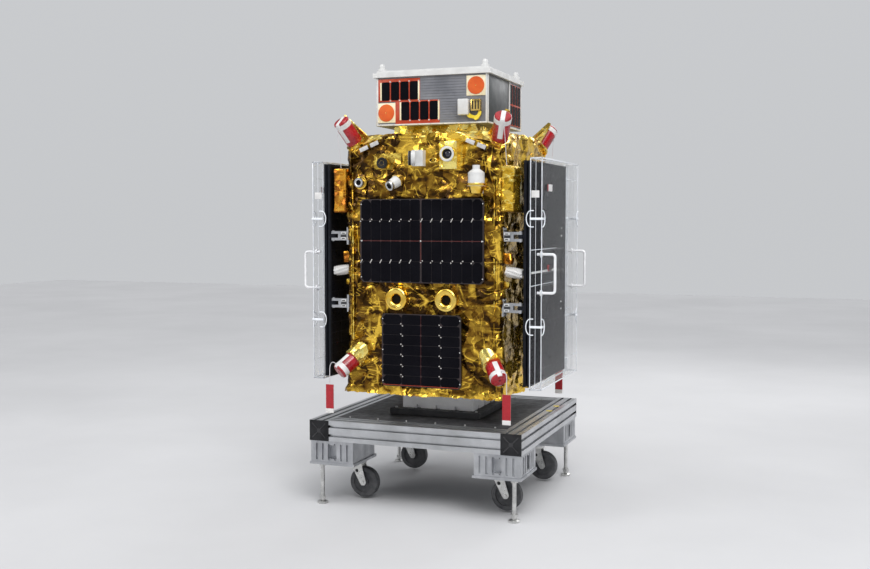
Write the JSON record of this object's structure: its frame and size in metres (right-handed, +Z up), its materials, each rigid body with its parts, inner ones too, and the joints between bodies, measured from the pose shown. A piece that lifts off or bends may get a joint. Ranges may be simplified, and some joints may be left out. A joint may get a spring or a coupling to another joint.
{
  "type": "boxy satellite with a smaller satellite on top, on a wheeled ground trolley",
  "caption": "Foil-wrapped box satellite with a smaller one on top, wings folded under clear covers and red thruster caps, on a trolley of grooved rails with casters and levelling feet",
  "frame": {"origin": "on the floor, below the middle of the trolley", "axes": "+Z up, -Y is the front with the two solar panels, +X is the right side seen from the front"},
  "size_m": [1.0406, 0.86, 1.729],
  "materials": {
    "rail_aluminium": "anodised extrusion, fine lengthwise brushing",
    "black_plate": "black anodised plate",
    "cap_plastic": "black moulded plastic",
    "bracket_aluminium": "cast aluminium",
    "zinc_steel": "zinc plated steel",
    "wheel_polyurethane": "dark grey tread on a grey hub",
    "adapter_white": "pale grey paint",
    "structure": "bare panel",
    "gold_foil": "crumpled gold metallised film",
    "amber_foil": "smoother amber metallised film",
    "solar_cells": "dark cells under cover glass on a dark substrate",
    "gold_metal": "gold coated metal",
    "white_paint": "white thermal paint",
    "cap_red": "red protective cap with white tape",
    "steel": "machined steel",
    "module_grey": "dark grey louvred panel",
    "patch_orange": "orange film",
    "wing_substrate": "dark carbon faced panel",
    "clear_acrylic": "clear acrylic sheet with bright edges",
    "handle_white": "pale coated bar",
    "cord_grey": "thin braided cord",
    "tag_red": "red woven streamer with a white end",
    "tape_white": "white cloth tape"
  },
  "bodies": {
    "satellite_and_trolley": {"side_rails": "rail_aluminium", "end_rails": "rail_aluminium", "rail_end_caps": "cap_plastic", "deck_plate": "black_plate", "cross_rails": "rail_aluminium", "caster_brackets": "bracket_aluminium", "levelling_feet": "zinc_steel", "adapter_base_plate": "black_plate", "separation_adapter": "adapter_white", "bus_structure": "structure", "front_blanket": "gold_foil", "rear_blanket": "gold_foil", "left_blanket": "gold_foil", "right_blanket": "gold_foil", "top_blanket": "gold_foil", "upper_front_solar_panel": "solar_cells", "lower_front_solar_panel": "solar_cells", "aperture_rings": "gold_metal", "tracker_camera": "gold_foil", "service_port": "gold_metal", "front_sensors": "white_paint", "stub_antenna": "white_paint", "upper_thruster_brackets": "gold_foil", "lower_thruster_brackets": "gold_foil", "upper_thruster_caps": "cap_red", "lower_thruster_caps": "cap_red", "flank_boxes": "amber_foil", "harness_wraps": "tape_white", "wing_root_brackets": "steel", "docking_pedestal": "gold_foil", "upper_module_body": "module_grey", "upper_module_lid": "white_paint", "upper_module_cells": "solar_cells", "upper_module_fittings": "patch_orange", "upper_lanyards": "cord_grey", "front_left_lanyard": "cord_grey", "front_right_lanyard": "cord_grey", "rear_left_lanyard": "cord_grey", "rear_right_lanyard": "cord_grey", "front_left_tag": "tag_red", "front_right_tag": "tag_red", "rear_left_tag": "tag_red", "rear_right_tag": "tag_red"},
    "front_left_caster": {"front_left_caster_fork": "zinc_steel"},
    "front_left_wheel": {"front_left_caster_wheel": "wheel_polyurethane"},
    "front_right_caster": {"front_right_caster_fork": "zinc_steel"},
    "front_right_wheel": {"front_right_caster_wheel": "wheel_polyurethane"},
    "rear_left_caster": {"rear_left_caster_fork": "zinc_steel"},
    "rear_left_wheel": {"rear_left_caster_wheel": "wheel_polyurethane"},
    "rear_right_caster": {"rear_right_caster_fork": "zinc_steel"},
    "rear_right_wheel": {"rear_right_caster_wheel": "wheel_polyurethane"},
    "right_wing_inner": {"right_wing_inner_panel": "wing_substrate"},
    "right_wing_outer": {"right_wing_outer_panel": "wing_substrate"},
    "right_cover": {"right_cover_shell": "clear_acrylic", "right_cover_handles": "handle_white"},
    "left_wing_inner": {"left_wing_inner_panel": "wing_substrate"},
    "left_wing_outer": {"left_wing_outer_panel": "wing_substrate"},
    "left_cover": {"left_cover_shell": "clear_acrylic", "left_cover_handles": "handle_white"}
  },
  "joints": [
    {"name": "front_left_caster_swivel", "type": "hinge", "parent": "satellite_and_trolley", "child": "front_left_caster", "pos_m": [-0.297, -0.265, 0.146], "axis": [0, 0, 1], "continuous": true},
    {"name": "front_left_wheel_spin", "type": "hinge", "parent": "front_left_caster", "child": "front_left_wheel", "pos_m": [-0.267, -0.265, 0.068], "axis": [0, 1, 0], "continuous": true},
    {"name": "front_right_caster_swivel", "type": "hinge", "parent": "satellite_and_trolley", "child": "front_right_caster", "pos_m": [0.297, -0.265, 0.146], "axis": [0, 0, 1], "continuous": true},
    {"name": "front_right_wheel_spin", "type": "hinge", "parent": "front_right_caster", "child": "front_right_wheel", "pos_m": [0.327, -0.265, 0.068], "axis": [0, 1, 0], "continuous": true},
    {"name": "rear_left_caster_swivel", "type": "hinge", "parent": "satellite_and_trolley", "child": "rear_left_caster", "pos_m": [-0.297, 0.265, 0.146], "axis": [0, 0, 1], "continuous": true},
    {"name": "rear_left_wheel_spin", "type": "hinge", "parent": "rear_left_caster", "child": "rear_left_wheel", "pos_m": [-0.267, 0.265, 0.068], "axis": [0, 1, 0], "continuous": true},
    {"name": "rear_right_caster_swivel", "type": "hinge", "parent": "satellite_and_trolley", "child": "rear_right_caster", "pos_m": [0.297, 0.265, 0.146], "axis": [0, 0, 1], "continuous": true},
    {"name": "rear_right_wheel_spin", "type": "hinge", "parent": "rear_right_caster", "child": "rear_right_wheel", "pos_m": [0.327, 0.265, 0.068], "axis": [0, 1, 0], "continuous": true},
    {"name": "right_wing_root", "type": "hinge", "parent": "satellite_and_trolley", "child": "right_wing_inner", "pos_m": [0.385, -0.3, 0.913], "axis": [0, 0, -1], "range_deg": [0, 90]},
    {"name": "right_wing_fold", "type": "hinge", "parent": "right_wing_inner", "child": "right_wing_outer", "pos_m": [0.411, 0.257, 0.913], "axis": [0, 0, 1], "range_deg": [0, 180]},
    {"name": "right_cover_slide", "type": "slide", "parent": "right_wing_outer", "child": "right_cover", "axis": [1, 0, 0], "range_m": [0, 0.2]},
    {"name": "left_wing_root", "type": "hinge", "parent": "satellite_and_trolley", "child": "left_wing_inner", "pos_m": [-0.385, -0.3, 0.913], "axis": [0, 0, 1], "range_deg": [0, 90]},
    {"name": "left_wing_fold", "type": "hinge", "parent": "left_wing_inner", "child": "left_wing_outer", "pos_m": [-0.411, 0.257, 0.913], "axis": [0, 0, -1], "range_deg": [0, 180]},
    {"name": "left_cover_slide", "type": "slide", "parent": "left_wing_outer", "child": "left_cover", "axis": [-1, 0, 0], "range_m": [0, 0.2]}
  ],
  "couplings": [
    {"joint": "right_wing_fold", "follows": "right_wing_root", "ratio": 2},
    {"joint": "left_wing_fold", "follows": "left_wing_root", "ratio": 2}
  ]
}
